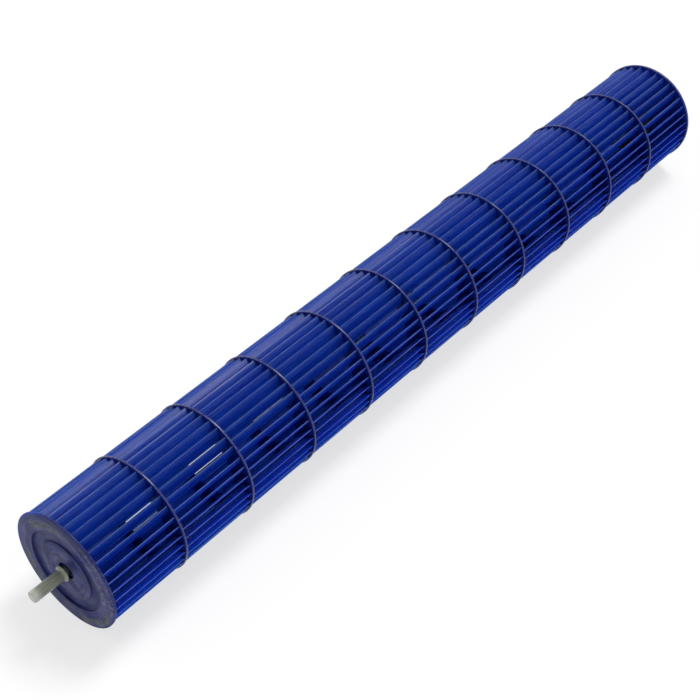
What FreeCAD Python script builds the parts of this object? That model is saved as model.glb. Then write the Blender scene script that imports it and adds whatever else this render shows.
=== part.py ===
import FreeCAD, Part
import math
import os
import re

import Sketcher

# Cross-flow blower wheel of an indoor air conditioner: a long drum of forward-curved blades.
# Eleven moulded sections stand end to end and are welded into one rotor. One end carries an
# end plate with a stub shaft under a push-on cap, the other a hub in rubber for the motor.
# The wheel's axis is Y. The origin is where the straight wall of the hub's bore begins, just
# inside its mouth, and +Y leaves the motor end.
# Each sub-part is drawn about its own Z axis, which its placement turns onto Y.

# Driving dimensions in millimetres and degrees, with what each one is
SIZES = (
    ("ring_diameter", 98, "over the rims of the rings and both end discs"),
    ("ring_thickness", 1.8, "ring between two sections"),
    ("rim_step", 1.2, "rims beyond the blades' outer edges"),
    ("bore_step", 9.4, "blades' inner edges beyond the rings' bore"),
    ("blade_length", 66.7, "from one ring to the next"),
    ("blade_depth", 9.4, "from the circle of the outer edges to that of the inner edges"),
    ("blade_sweep", 8.2, "angle from a blade's outer edge to its inner edge"),
    ("blade_camber", 1.8, "rise of a blade's bend over its chord"),
    ("blade_thickness", 1.2, "at the bend"),
    ("blade_edge", 0.7, "at the outer edge"),
    ("stagger", 4.8, "turn from one section to the next"),
    ("first_blade", 197.9, "place of the motor end section's first blade"),
    ("plate_thickness", 2, "wall of the bearing end plate"),
    ("groove_gap", 2.1, "from the back of the plate's groove to the blades' inner edges"),
    ("groove_width", 9.3, "wide groove round the plate's face"),
    ("groove_depth", 1.8, "below the plate's face"),
    ("disc_recess", 0.6, "middle disc below the plate's face"),
    ("pocket_diameter", 14, "round pocket about the shaft, wider than the cap's flare"),
    ("pocket_depth", 3.4, "below the plate's face"),
    ("plate_boss_diameter", 22, "boss that holds the shaft's root"),
    ("root_length", 11.6, "shaft's root in the boss, below the pocket's floor"),
    ("shaft_diameter", 8, "stub shaft"),
    ("shaft_reach", 25, "out of the plate's face"),
    ("shaft_chamfer", 0.5, "at the shaft's end"),
    ("anchor_diameter", 6.6, "neck of the shaft's root, locked in the boss"),
    ("anchor_width", 2.5, "length of that neck"),
    ("cap_clearance", 0.05, "between the cap and the shaft, each side"),
    ("cap_wall", 0.5, "cap's tube"),
    ("cap_end_wall", 0.9, "cap's closed end"),
    ("cap_length", 27.8, "over the whole cap"),
    ("cap_gap", 2.2, "from the cap's mouth to the plate's face"),
    ("flare_diameter", 13, "rim at the cap's mouth"),
    ("flare_thickness", 0.8, "that rim along the shaft"),
    ("flare_length", 1.6, "cone from the tube out to the rim"),
    ("cap_end_chamfer", 0.6, "at the closed end"),
    ("motor_disc_thickness", 2.4, "closed disc at the motor end"),
    ("recess_diameter", 44, "recess for the motor's nose"),
    ("recess_depth", 14, "to the floor that holds the rubber"),
    ("recess_wall", 2, "tube and floor of that recess"),
    ("rubber_neck_diameter", 30, "rubber in the floor's hole"),
    ("rubber_lip_diameter", 35, "rubber outside the floor"),
    ("rubber_lip_thickness", 2, "that lip"),
    ("rubber_diameter", 38, "rubber inside the wheel"),
    ("rubber_length", 30, "rubber inside the floor"),
    ("hub_diameter", 16, "metal core in the rubber"),
    ("hub_stand_out", 1, "core beyond the rubber's lip"),
    ("collar_diameter", 20, "core's collar for the set screw"),
    ("collar_length", 12, "that collar"),
    ("motor_bore", 8, "bore for the motor's shaft"),
    ("bore_chamfer", 0.6, "at both ends of the bore"),
    ("screw_diameter", 5, "set screw"),
    ("screw_length", 5.6, "set screw"),
    ("screw_angle", 35, "turn of the set screw about the wheel's axis"),
    ("screw_clearance", 0.05, "round the set screw"),
    ("screw_tip_gap", 0.3, "from the screw's tip to the bore's wall"),
    ("socket_width", 2.5, "across the flats of the screw's socket"),
    ("socket_depth", 3, "screw's socket"),
)

# The blades stand at uneven steps round the wheel, so that it hums no single note
BLADE_STEPS = (
    9.7, 10.1, 9.8, 9.3, 9.6, 11.0, 10.2, 11.5, 9.4, 9.8, 10.0, 10.4,
    10.7, 9.9, 10.3, 9.6, 10.5, 9.8, 10.4, 9.9, 11.0, 10.6, 11.6, 10.7,
    11.7, 10.8, 10.4, 9.7, 10.3, 10.6, 9.9, 10.2, 10.5, 9.8, 10.3,
)
SECTION_COUNT = 11

# Two lengths nearer than this are the same
SAME = 0.001

# Circles about the axis, worked out from the sizes above
BLADE_TIPS = "(ring_diameter / 2 - rim_step)"
BLADE_ROOTS = f"({BLADE_TIPS} - blade_depth)"
RING_BORE = f"({BLADE_ROOTS} - bore_step)"
GROOVE_OUT = f"({BLADE_ROOTS} - groove_gap - plate_thickness)"
GROOVE_IN = f"({GROOVE_OUT} - groove_width)"

# Places along the axis
SECTION_PITCH = "(blade_length + ring_thickness)"
HUB_MOUTH = "bore_chamfer"
MOTOR_FACE = f"({HUB_MOUTH} + recess_depth - rubber_lip_thickness - hub_stand_out)"
MOTOR_SECTION = "(blade_length + motor_disc_thickness)"
PLATE_FACE = f"({MOTOR_FACE} - {MOTOR_SECTION} - {SECTION_COUNT - 1} * {SECTION_PITCH} - plate_thickness)"

doc = FreeCAD.newDocument("blower_wheel")
sheet = doc.addObject("Spreadsheet::Sheet", "Sizes")
for row, (alias, value, meaning) in enumerate(SIZES, start=1):
    sheet.set(f"A{row}", alias)
    sheet.set(f"B{row}", str(value))
    sheet.set(f"C{row}", meaning)
    sheet.setAlias(f"B{row}", alias)
doc.recompute()
ALIASES = {alias for alias, _, _ in SIZES}


def bound(formula):
    """The formula with each of the sheet's names written as the sheet's cell."""
    return re.sub(r"[a-z_]+", lambda word: cell(word.group()), formula)


def cell(word):
    return f"Sizes.{word}" if word in ALIASES else word


def worked_out(formula):
    """The formula's value now."""
    return float(sheet.evalExpression(bound(formula)))


def new_body(label, station, turn="0"):
    """A body whose Z axis lies on the wheel's axis, at its station along Y and turned about it."""
    body = doc.addObject("PartDesign::Body", label)
    body.Label = label
    base = f"vector(0; {bound(station)}; 0)"
    onto_axis = "rotation(vector(1; 0; 0); -90)"
    about_axis = f"rotation(vector(0; 0; 1); {bound(turn)})"
    body.setExpression("Placement", f"placement({base}; {onto_axis} * {about_axis})")
    return body


def new_sketch(body, name, plane, height="0"):
    """A sketch on one of the body's own planes, raised off it by the height."""
    sketch = body.newObject("Sketcher::SketchObject", name)
    support = next(item for item in body.Origin.OriginFeatures if item.Role == plane)
    sketch.AttachmentSupport = [(support, "")]
    sketch.MapMode = "FlatFace"
    sketch.setExpression("AttachmentOffset.Base.z", bound(height))
    return sketch


def bind(sketch, constraint, formula):
    """Adds a constraint and ties its value to the formula."""
    index = sketch.addConstraint(constraint)
    sketch.setExpression(f"Constraints[{index}]", bound(formula))


def line(sketch, start, end, construction=False):
    return sketch.addGeometry(Part.LineSegment(start, end), construction)


def circle(sketch, radius, construction=False):
    """A circle about the sketch's origin."""
    now = worked_out(radius)
    about_z = FreeCAD.Vector(0, 0, 1)
    index = sketch.addGeometry(Part.Circle(FreeCAD.Vector(), about_z, now), construction)
    sketch.addConstraint(Sketcher.Constraint("Coincident", index, 3, -1, 1))
    bind(sketch, Sketcher.Constraint("Radius", index, now), radius)
    return index


def outline(sketch, corners):
    """A closed outline of straight lines through corners given as pairs of formulas."""
    points = [FreeCAD.Vector(worked_out(x), worked_out(y), 0) for x, y in corners]
    lines = [line(sketch, a, b) for a, b in zip(points, points[1:] + points[:1])]
    for before, after in zip(lines, lines[1:] + lines[:1]):
        sketch.addConstraint(Sketcher.Constraint("Coincident", before, 2, after, 1))
    previous = (None, None)
    for index, corner in enumerate(corners):
        pin(sketch, lines, index, 0, corner, previous, points[index].x)
        pin(sketch, lines, index, 1, corner, previous, points[index].y)
        previous = corner


def pin(sketch, lines, index, side, corner, previous, value):
    """Fixes one coordinate of a corner: to an axis, in line with the last corner, or by size."""
    kind = ("DistanceX", "DistanceY")[side]
    axis = (-2, -1)[side]
    if corner[side] == "0":
        sketch.addConstraint(Sketcher.Constraint("PointOnObject", lines[index], 1, axis))
    elif corner[side] == previous[side]:
        sketch.addConstraint(Sketcher.Constraint(("Vertical", "Horizontal")[side], lines[index - 1]))
    else:
        bind(sketch, Sketcher.Constraint(kind, -1, 1, lines[index], 1, value), corner[side])


def turned(body, name, corners):
    """A solid of revolution about the body's Z axis, from its half section in radius and height."""
    sketch = new_sketch(body, f"{name}_outline", "XZ_Plane")
    outline(sketch, corners)
    solid = body.newObject("PartDesign::Revolution", name)
    solid.Profile = sketch
    solid.ReferenceAxis = (sketch, ["V_Axis"])
    solid.Angle = 360
    body.Tip = solid
    doc.recompute()
    return solid


def round_edges(solid, radius, height):
    """Names of a solid's full circles of that radius at that height."""
    names = []
    for number, edge in enumerate(solid.Shape.Edges, start=1):
        curve = edge.Curve
        if not isinstance(curve, Part.Circle):
            continue
        at_height = abs(edge.BoundBox.Center.z - worked_out(height)) < SAME
        if at_height and abs(curve.Radius - worked_out(radius)) < SAME:
            names.append(f"Edge{number}")
    if not names:
        raise ValueError(f"{solid.Name} has no circle of radius {radius} at {height}")
    return names


def chamfered(body, name, solid, edges, size):
    feature = body.newObject("PartDesign::Chamfer", name)
    feature.Base = (solid, edges)
    feature.setExpression("Size", bound(size))
    body.Tip = feature
    doc.recompute()


def cut(body, name, sketch, depth, least_volume, outward=False):
    """A pocket in the body's solid, which must take at least that volume out of it."""
    volume_before = body.Tip.Shape.Volume
    pocket = body.newObject("PartDesign::Pocket", name)
    pocket.Profile = sketch
    pocket.Reversed = outward
    pocket.setExpression("Length", bound(depth))
    body.Tip = pocket
    doc.recompute()
    if volume_before - pocket.Shape.Volume < worked_out(least_volume):
        raise ValueError(f"{name} has missed its solid")


def blade_outline(sketch):
    """Section of the first blade: a bent strip with a blunt outer edge and a thin inner one.

    Its outer edge lies on the X axis. Each side is two flats that meet at the bend, which
    stands halfway along the chord and bulges out to the back of the blade.
    """
    tip_radius = worked_out(BLADE_TIPS)
    inner_radius = worked_out(BLADE_ROOTS)
    sweep = math.radians(worked_out("blade_sweep"))
    outer = FreeCAD.Vector(tip_radius, 0, 0)
    inner = FreeCAD.Vector(inner_radius * math.cos(sweep), inner_radius * math.sin(sweep), 0)
    middle = (outer + inner) / 2
    along = (inner - outer).normalize()
    back_way = FreeCAD.Vector(along.y, -along.x, 0)
    edge_half = back_way * worked_out("blade_edge / 2")
    back = middle + back_way * worked_out("blade_camber + blade_thickness / 2")
    hollow = middle + back_way * worked_out("blade_camber - blade_thickness / 2")

    tip_circle = circle(sketch, BLADE_TIPS, True)
    inner_circle = circle(sketch, BLADE_ROOTS, True)
    chord = line(sketch, outer, inner, True)
    spoke = line(sketch, FreeCAD.Vector(), inner, True)
    rise = line(sketch, middle, back, True)
    corners = (outer + edge_half, back, inner, hollow, outer - edge_half)
    sides = [line(sketch, a, b) for a, b in zip(corners, corners[1:] + corners[:1])]
    outer_back, back_inner, inner_hollow, hollow_outer, blunt = sides

    rules = [
        ("PointOnObject", chord, 1, tip_circle),
        ("PointOnObject", chord, 1, -1),
        ("PointOnObject", chord, 2, inner_circle),
        ("Coincident", spoke, 1, -1, 1),
        ("Coincident", spoke, 2, chord, 2),
        ("Symmetric", chord, 1, chord, 2, rise, 1),
        ("Perpendicular", rise, chord),
        ("Coincident", rise, 2, outer_back, 2),
        ("Coincident", chord, 2, back_inner, 2),
        ("PointOnObject", inner_hollow, 2, rise),
        ("Perpendicular", blunt, chord),
        ("Symmetric", blunt, 1, blunt, 2, chord, 1),
    ]
    rules += [("Coincident", a, 2, b, 1) for a, b in zip(sides, sides[1:] + sides[:1])]
    for rule in rules:
        sketch.addConstraint(Sketcher.Constraint(*rule))
    bind(sketch, Sketcher.Constraint("Angle", -1, 1, spoke, 1, sweep), "blade_sweep * 1 deg")
    bind(sketch, Sketcher.Constraint("Distance", rise, 1), "blade_camber + blade_thickness / 2")
    gap = (hollow - middle).Length
    hollow_rise = Sketcher.Constraint("Distance", rise, 1, inner_hollow, 2, gap)
    bind(sketch, hollow_rise, "blade_camber - blade_thickness / 2")
    bind(sketch, Sketcher.Constraint("Distance", blunt, 1), "blade_edge")


def add_blades(body, carrier):
    """One blade from the body's XY plane up to the disc that carries it, and its copies round."""
    sketch = new_sketch(body, "blade_outline", "XY_Plane")
    blade_outline(sketch)
    blade = body.newObject("PartDesign::Pad", "blade")
    blade.Profile = sketch
    blade.setExpression("Length", bound("blade_length"))
    body.Tip = blade
    doc.recompute()
    blade_volume = blade.Shape.Volume - carrier.Shape.Volume

    full_turn = 360 / sum(BLADE_STEPS)
    steps = [step * full_turn for step in BLADE_STEPS]
    crown = body.newObject("PartDesign::PolarPattern", "blade_crown")
    crown.Originals = [blade]
    crown.Axis = (sketch, ["N_Axis"])
    crown.Mode = "Spacing"
    crown.Occurrences = len(steps)
    crown.Spacings = steps[:-1]
    body.Tip = crown
    doc.recompute()
    expected = carrier.Shape.Volume + len(steps) * blade_volume
    if abs(crown.Shape.Volume / expected - 1) > SAME:
        raise ValueError("the blades overlap, or some are missing")


def first_section(label, station, turn):
    """A moulded section: blades with the ring that carries them at their far end."""
    body = new_body(label, station, turn)
    sketch = new_sketch(body, "ring_outline", "XY_Plane", "blade_length")
    circle(sketch, "ring_diameter / 2")
    circle(sketch, RING_BORE)
    ring = body.newObject("PartDesign::Pad", "ring")
    ring.Profile = sketch
    ring.setExpression("Length", bound("ring_thickness"))
    body.Tip = ring
    doc.recompute()
    add_blades(body, ring)
    return body


def further_section(label, station, turn, mould):
    """Another moulding out of the same mould."""
    body = new_body(label, station, turn)
    moulding = body.newObject("PartDesign::FeatureBase", "moulding")
    moulding.BaseFeature = mould
    body.Tip = moulding
    return body


def section_place(number):
    """Station and turn of a section, counted from the end plate."""
    station = f"{PLATE_FACE} + plate_thickness + {number - 1} * {SECTION_PITCH}"
    turn = f"first_blade + {SECTION_COUNT - number} * stagger"
    return station, turn


def bearing_end_plate():
    """Dished plate with a wide groove in its face and a boss inside that holds the shaft."""
    body = new_body("bearing_end_plate", PLATE_FACE)
    rim = "ring_diameter / 2"
    back_out = f"{GROOVE_OUT} + plate_thickness"
    back_in = f"{GROOVE_IN} - plate_thickness"
    groove_back = "groove_depth + plate_thickness"
    disc_back = "disc_recess + plate_thickness"
    boss_end = "pocket_depth + root_length"
    neck_start = "pocket_depth + root_length / 2 - anchor_width / 2"
    neck_end = "pocket_depth + root_length / 2 + anchor_width / 2"
    turned(body, "end_plate", (
        ("shaft_diameter / 2", "pocket_depth"),
        ("pocket_diameter / 2", "pocket_depth"),
        ("pocket_diameter / 2", "disc_recess"),
        (GROOVE_IN, "disc_recess"),
        (GROOVE_IN, "groove_depth"),
        (GROOVE_OUT, "groove_depth"),
        (GROOVE_OUT, "0"),
        (rim, "0"),
        (rim, "plate_thickness"),
        (back_out, "plate_thickness"),
        (back_out, groove_back),
        (back_in, groove_back),
        (back_in, disc_back),
        ("plate_boss_diameter / 2", disc_back),
        ("plate_boss_diameter / 2", boss_end),
        ("shaft_diameter / 2", boss_end),
        ("shaft_diameter / 2", neck_end),
        ("anchor_diameter / 2", neck_end),
        ("anchor_diameter / 2", neck_start),
        ("shaft_diameter / 2", neck_start),
    ))
    return body


def stub_shaft():
    """Steel pin with a necked root, moulded into the plate's boss."""
    body = new_body("stub_shaft", f"{PLATE_FACE} - shaft_reach")
    neck_middle = "shaft_reach + pocket_depth + root_length / 2"
    neck_start = f"{neck_middle} - anchor_width / 2"
    neck_end = f"{neck_middle} + anchor_width / 2"
    root_end = "shaft_reach + pocket_depth + root_length"
    turned(body, "pin", (
        ("0", "0"),
        ("shaft_diameter / 2 - shaft_chamfer", "0"),
        ("shaft_diameter / 2", "shaft_chamfer"),
        ("shaft_diameter / 2", neck_start),
        ("anchor_diameter / 2", neck_start),
        ("anchor_diameter / 2", neck_end),
        ("shaft_diameter / 2", neck_end),
        ("shaft_diameter / 2", root_end),
        ("0", root_end),
    ))
    return body


def shaft_cap():
    """Clear push-on cap over the stub shaft, closed at its tip and flared at its mouth."""
    body = new_body("shaft_cap", f"{PLATE_FACE} - cap_gap - cap_length")
    bore = "shaft_diameter / 2 + cap_clearance"
    tube = f"{bore} + cap_wall"
    rim_start = "cap_length - flare_thickness"
    turned(body, "cap", (
        ("0", "0"),
        (f"{tube} - cap_end_chamfer", "0"),
        (tube, "cap_end_chamfer"),
        (tube, f"{rim_start} - flare_length"),
        ("flare_diameter / 2", rim_start),
        ("flare_diameter / 2", "cap_length"),
        (bore, "cap_length"),
        (bore, "cap_end_wall"),
        ("0", "cap_end_wall"),
    ))
    return body


def motor_end_section():
    """Last section: its blades stand on a closed disc with a recess for the motor's nose."""
    station, turn = section_place(SECTION_COUNT)
    body = new_body("motor_end_section", station, turn)
    face = "blade_length + motor_disc_thickness"
    recess = "recess_diameter / 2"
    tube = "recess_diameter / 2 + recess_wall"
    floor = f"{face} - recess_depth"
    disc = turned(body, "closed_disc", (
        ("rubber_neck_diameter / 2", f"{floor} - recess_wall"),
        (tube, f"{floor} - recess_wall"),
        (tube, "blade_length"),
        ("ring_diameter / 2", "blade_length"),
        ("ring_diameter / 2", face),
        (recess, face),
        (recess, floor),
        ("rubber_neck_diameter / 2", floor),
    ))
    add_blades(body, disc)
    return body


def rubber_boss():
    """Soft mount between the wheel and its metal core, gripping the recess's floor in a groove."""
    body = new_body("rubber_boss", f"{MOTOR_FACE} - recess_depth - recess_wall - rubber_length")
    floor_start = "rubber_length"
    floor_end = "rubber_length + recess_wall"
    lip_end = "rubber_length + recess_wall + rubber_lip_thickness"
    turned(body, "rubber", (
        ("hub_diameter / 2", "0"),
        ("rubber_diameter / 2", "0"),
        ("rubber_diameter / 2", floor_start),
        ("rubber_neck_diameter / 2", floor_start),
        ("rubber_neck_diameter / 2", floor_end),
        ("rubber_lip_diameter / 2", floor_end),
        ("rubber_lip_diameter / 2", lip_end),
        ("hub_diameter / 2", lip_end),
    ))
    return body


CORE_IN_RUBBER = "(rubber_length + recess_wall + rubber_lip_thickness)"
CORE_LENGTH = f"(collar_length + {CORE_IN_RUBBER} + hub_stand_out)"


def hub_core():
    """Metal sleeve in the rubber, with a bore for the motor's shaft and a collar with a screw hole."""
    body = new_body("hub_core", f"{HUB_MOUTH} - {CORE_LENGTH}", "screw_angle")
    sleeve = turned(body, "sleeve", (
        ("motor_bore / 2", "0"),
        ("collar_diameter / 2", "0"),
        ("collar_diameter / 2", "collar_length"),
        ("hub_diameter / 2", "collar_length"),
        ("hub_diameter / 2", CORE_LENGTH),
        ("motor_bore / 2", CORE_LENGTH),
    ))
    rims = round_edges(sleeve, "motor_bore / 2", "0") + round_edges(sleeve, "motor_bore / 2", CORE_LENGTH)
    chamfered(body, "bore_rims", sleeve, rims, "bore_chamfer")

    sketch = new_sketch(body, "screw_hole_outline", "YZ_Plane")
    radius = worked_out("screw_diameter / 2")
    centre = FreeCAD.Vector(0, worked_out("collar_length / 2"), 0)
    hole = sketch.addGeometry(Part.Circle(centre, FreeCAD.Vector(0, 0, 1), radius))
    sketch.addConstraint(Sketcher.Constraint("PointOnObject", hole, 3, -2))
    bind(sketch, Sketcher.Constraint("Diameter", hole, 2 * radius), "screw_diameter")
    bind(sketch, Sketcher.Constraint("DistanceY", -1, 1, hole, 3, centre.y), "collar_length / 2")
    wall_area = "(collar_diameter / 2 - motor_bore / 2) * screw_diameter"
    cut(body, "screw_hole", sketch, "collar_diameter / 2 + bore_chamfer",
        f"{wall_area} * screw_diameter / 2", outward=True)
    return body


def set_screw():
    """Grub screw in the collar, its tip just short of the bore, with a hexagon socket."""
    body = new_body("set_screw", f"{HUB_MOUTH} - {CORE_LENGTH} + collar_length / 2", "screw_angle")
    radius = "(screw_diameter / 2 - screw_clearance)"
    tip = "motor_bore / 2 + screw_tip_gap"
    shank_sketch = new_sketch(body, "shank_outline", "YZ_Plane", tip)
    circle(shank_sketch, radius)
    shank = body.newObject("PartDesign::Pad", "shank")
    shank.Profile = shank_sketch
    shank.setExpression("Length", bound("screw_length"))
    body.Tip = shank
    doc.recompute()

    socket_sketch = new_sketch(body, "socket_outline", "YZ_Plane", f"{tip} + screw_length")
    corner_reach = "socket_width / 2 / cos(30 deg)"
    corner_circle = circle(socket_sketch, corner_reach, True)
    turns = [math.radians(60 * corner) for corner in range(6)]
    reach = worked_out(corner_reach)
    corners = [FreeCAD.Vector(reach * math.cos(turn), reach * math.sin(turn), 0) for turn in turns]
    sides = [line(socket_sketch, a, b) for a, b in zip(corners, corners[1:] + corners[:1])]
    for before, after in zip(sides, sides[1:] + sides[:1]):
        socket_sketch.addConstraint(Sketcher.Constraint("Coincident", before, 2, after, 1))
        socket_sketch.addConstraint(Sketcher.Constraint("PointOnObject", before, 1, corner_circle))
    for other in sides[1:]:
        socket_sketch.addConstraint(Sketcher.Constraint("Equal", sides[0], other))
    socket_sketch.addConstraint(Sketcher.Constraint("PointOnObject", sides[0], 1, -1))
    cut(body, "socket", socket_sketch, "socket_depth", "socket_width * socket_width * socket_depth / 2")
    return body


def blade_sections():
    """The ten like sections between the end plate and the motor end."""
    sections = []
    for number in range(1, SECTION_COUNT):
        label = f"blade_section_{number:02d}"
        station, turn = section_place(number)
        if sections:
            sections.append(further_section(label, station, turn, sections[0]))
        else:
            sections.append(first_section(label, station, turn))
    return sections


sub_parts = [bearing_end_plate(), stub_shaft(), shaft_cap()]
sub_parts += blade_sections()
sub_parts += [motor_end_section(), rubber_boss(), hub_core(), set_screw()]

doc.recompute()
failed = [item.Name for item in doc.Objects if "Invalid" in item.State or "Error" in item.State]
if failed:
    raise ValueError(f"not built: {failed}")
for part in sub_parts:
    if part.Shape.isNull() or not part.Shape.isValid() or len(part.Shape.Solids) != 1:
        raise ValueError(f"{part.Label} is not one valid solid")

os.makedirs("parts", exist_ok=True)
for part in sub_parts:
    part.Shape.exportStep(f"parts/{part.Label}.step")
    box = part.Shape.BoundBox
    print(f"{part.Label}: {part.Shape.Volume:.1f} mm3, Y {box.YMin:.2f} to {box.YMax:.2f}")
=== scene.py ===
# %% [markdown]
# # A cross-flow blower wheel
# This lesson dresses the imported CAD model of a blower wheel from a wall-mounted air conditioner.
# The wheel is a long drum of eleven blue plastic mouldings, welded end to end. Each is a crown of
# 35 curved blades on a ring or, at the motor end, on a closed disc. The other end has a smoky plate
# with a steel pin under a clear cap, and the motor end has a hub in rubber for the motor's shaft.
# The CAD model gives the places and main sizes. Here the mouldings get their smooth blades, rounded
# rims and real finishes, and the scene gets the photograph's camera and light.

# %% Load the frame
import math

import bpy
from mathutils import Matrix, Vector


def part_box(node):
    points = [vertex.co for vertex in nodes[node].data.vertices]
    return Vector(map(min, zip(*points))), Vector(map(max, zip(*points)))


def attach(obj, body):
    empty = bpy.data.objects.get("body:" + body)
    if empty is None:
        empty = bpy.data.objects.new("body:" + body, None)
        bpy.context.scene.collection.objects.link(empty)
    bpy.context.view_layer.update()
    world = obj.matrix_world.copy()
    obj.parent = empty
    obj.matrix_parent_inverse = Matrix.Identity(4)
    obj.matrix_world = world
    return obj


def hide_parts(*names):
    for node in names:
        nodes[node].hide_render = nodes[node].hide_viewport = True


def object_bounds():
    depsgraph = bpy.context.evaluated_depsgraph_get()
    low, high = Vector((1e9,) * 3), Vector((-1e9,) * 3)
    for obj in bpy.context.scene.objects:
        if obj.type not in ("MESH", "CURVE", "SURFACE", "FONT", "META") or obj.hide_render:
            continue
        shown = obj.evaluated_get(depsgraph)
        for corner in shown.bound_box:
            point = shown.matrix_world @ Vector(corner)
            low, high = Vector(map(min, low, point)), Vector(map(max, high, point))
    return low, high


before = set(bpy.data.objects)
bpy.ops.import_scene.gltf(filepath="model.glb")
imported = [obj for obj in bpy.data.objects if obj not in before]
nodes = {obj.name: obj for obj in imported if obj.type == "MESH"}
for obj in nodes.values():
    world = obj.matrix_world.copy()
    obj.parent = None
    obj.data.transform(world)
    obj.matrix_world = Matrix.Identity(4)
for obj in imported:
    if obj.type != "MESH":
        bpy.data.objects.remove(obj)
cad_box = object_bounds()
print("CAD box in mm", [[round(1000 * side) for side in corner] for corner in cad_box])

# %% [markdown]
# ## Where things are
# Everything is in metres, on the CAD model's axes: the wheel's axis is Y, the shaft end is at -Y
# and the motor end at +Y. Stations along the axis are read from the CAD nodes' boxes, so that a
# change of size there moves the pieces here. Sizes across a blade or a wall are written in
# millimetres.

# %% Sizes
MM = 0.001
RING_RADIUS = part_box("blade_section_01")[1].x
RING_THICKNESS = 1.8 * MM
RIM_STEP = 1.2 * MM
BORE_STEP = 9.4 * MM
BLADE_DEPTH = 9.4 * MM
TIP_RADIUS = RING_RADIUS - RIM_STEP
ROOT_RADIUS = TIP_RADIUS - BLADE_DEPTH
BORE_RADIUS = ROOT_RADIUS - BORE_STEP
BLADE_SWEEP = 8.8
BLADE_CAMBER = 0.8 * MM
BLADE_WALL = 1.2 * MM
BLADE_TIP_WALL = 0.7 * MM
BLADE_ROOT_WALL = 0.5 * MM
SECTION_COUNT = 11
FIRST_BLADE = 197.9
STAGGER = 4.8
BLADE_STEPS = (
    9.7, 10.1, 9.8, 9.3, 9.6, 11.0, 10.2, 11.5, 9.4, 9.8, 10.0, 10.4,
    10.7, 9.9, 10.3, 9.6, 10.5, 9.8, 10.4, 9.9, 11.0, 10.6, 11.6, 10.7,
    11.7, 10.8, 10.4, 9.7, 10.3, 10.6, 9.9, 10.2, 10.5, 9.8, 10.3,
)

PLATE_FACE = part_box("bearing_end_plate")[0].y
FIRST_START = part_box("blade_section_01")[0].y
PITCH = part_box("blade_section_02")[0].y - FIRST_START
MOTOR_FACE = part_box("motor_end_section")[1].y
print(f"ring radius {RING_RADIUS / MM:.1f} mm, pitch {PITCH / MM:.1f} mm")

# %% [markdown]
# ## The photograph's camera
# A camera was fitted to the rings and both ends of the wheel in the photograph. It stands a metre
# away, above and beside the shaft end. Its place and the point that it looks at are given from the
# middle of the end plate's face. The lens follows from the fitted focal length in pixels, with the
# usual 36 mm sensor over the photograph's 700 pixels.

# %% Camera
PLATE_CENTRE = Vector((0, PLATE_FACE, 0))
CAMERA_PLACE = PLATE_CENTRE + Vector((560.7, -362.3, 781.8)) * MM
CAMERA_AIM = PLATE_CENTRE + Vector((0, 305.0, -5.2)) * MM
FOCAL_PIXELS = 1447.8
PHOTO_PIXELS = 700
SENSOR = 36

bpy.ops.object.camera_add(location=CAMERA_PLACE)
camera = bpy.context.object
camera.name = "photo_camera"
camera.rotation_euler = (CAMERA_AIM - CAMERA_PLACE).to_track_quat("-Z", "Y").to_euler()
camera.data.sensor_width = SENSOR
camera.data.lens = FOCAL_PIXELS / PHOTO_PIXELS * SENSOR
bpy.context.scene.camera = camera
print(f"lens {camera.data.lens:.1f} mm, {(CAMERA_AIM - CAMERA_PLACE).length:.2f} m from its aim")

# %% [markdown]
# ## Drawing with points
# Most pieces start as one point that is extruded from corner to corner, as one would draw an
# outline by hand. A plane merged at its centre gives that first point. Blender's operators act on
# all that is selected, so each piece starts with everything deselected.

# %% Helpers to draw and select
def start_point(name, place):
    """A new object in edit mode that is a single point."""
    bpy.ops.object.select_all(action="DESELECT")
    bpy.ops.mesh.primitive_plane_add(size=MM, location=place)
    bpy.ops.object.transform_apply(location=True)
    bpy.context.object.name = name
    bpy.ops.object.mode_set(mode="EDIT")
    bpy.ops.mesh.select_mode(type="VERT")
    bpy.ops.mesh.merge(type="CENTER")
    return bpy.context.object


def draw_by(step):
    """Extrudes the selected points by that step."""
    bpy.ops.mesh.extrude_vertices_move(TRANSFORM_OT_translate={"value": step})


def select_points(piece, chosen):
    """Selects, in edit mode, the points whose place passes the test."""
    bpy.ops.mesh.select_mode(type="VERT")
    bpy.ops.mesh.select_all(action="DESELECT")
    bpy.ops.object.mode_set(mode="OBJECT")
    for vertex in piece.data.vertices:
        vertex.select = chosen(vertex.co)
    bpy.ops.object.mode_set(mode="EDIT")


def select_edges(piece, chosen):
    """Selects, in edit mode, the edges whose two ends pass the test."""
    bpy.ops.mesh.select_mode(type="EDGE")
    bpy.ops.mesh.select_all(action="DESELECT")
    bpy.ops.object.mode_set(mode="OBJECT")
    points = piece.data.vertices
    for edge in piece.data.edges:
        edge.select = chosen(*(points[index].co for index in edge.vertices))
    bpy.ops.object.mode_set(mode="EDIT")


def triangles(piece):
    return sum(len(face.vertices) - 2 for face in piece.data.polygons)


# %% [markdown]
# ## Turned pieces
# The plate, the cap, the rings and the rubber are all round about the wheel's axis. Each is made as
# on a lathe: its half section is drawn in radius and height along the axis, chosen corners are
# rounded, and the outline is spun once round the axis. The doubled points of the seam and of the
# poles are merged, and the faces are turned to look outwards.

# %% Helper for turned pieces
ROUND_STEPS = 160
ROUNDING_STEPS = 4
CREASE = math.radians(35)
SAME_PLACE = 0.0005 * MM


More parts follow.
